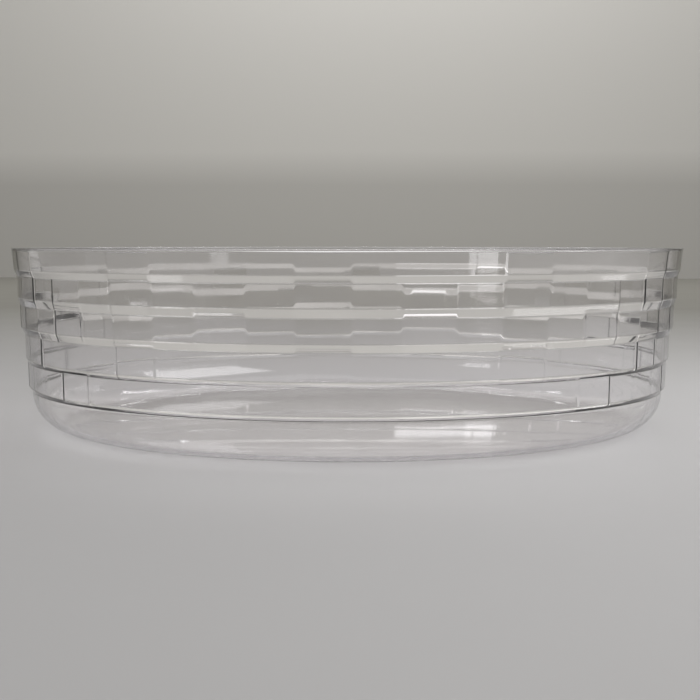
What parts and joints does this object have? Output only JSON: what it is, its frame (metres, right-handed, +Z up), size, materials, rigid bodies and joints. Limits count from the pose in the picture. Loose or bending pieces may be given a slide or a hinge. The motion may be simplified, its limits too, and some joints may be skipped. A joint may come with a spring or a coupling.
{
  "type": "round basket protector",
  "caption": "Round clear plastic liner with stepped, weave-patterned sides and a flat floor; it stands inside a basket and keeps it clean.",
  "frame": {"origin": "middle of the underside of the flat floor", "axes": "+Z up along the upright axis; a proud panel of the first and third courses is centred on each of +X, +Y, -X and -Y"},
  "size_m": [0.3098, 0.3098, 0.0815],
  "materials": {
    "clear_plastic": "clear polished moulded plastic"
  },
  "bodies": {
    "root": {"protector_shell": "clear_plastic"}
  },
  "joints": []
}
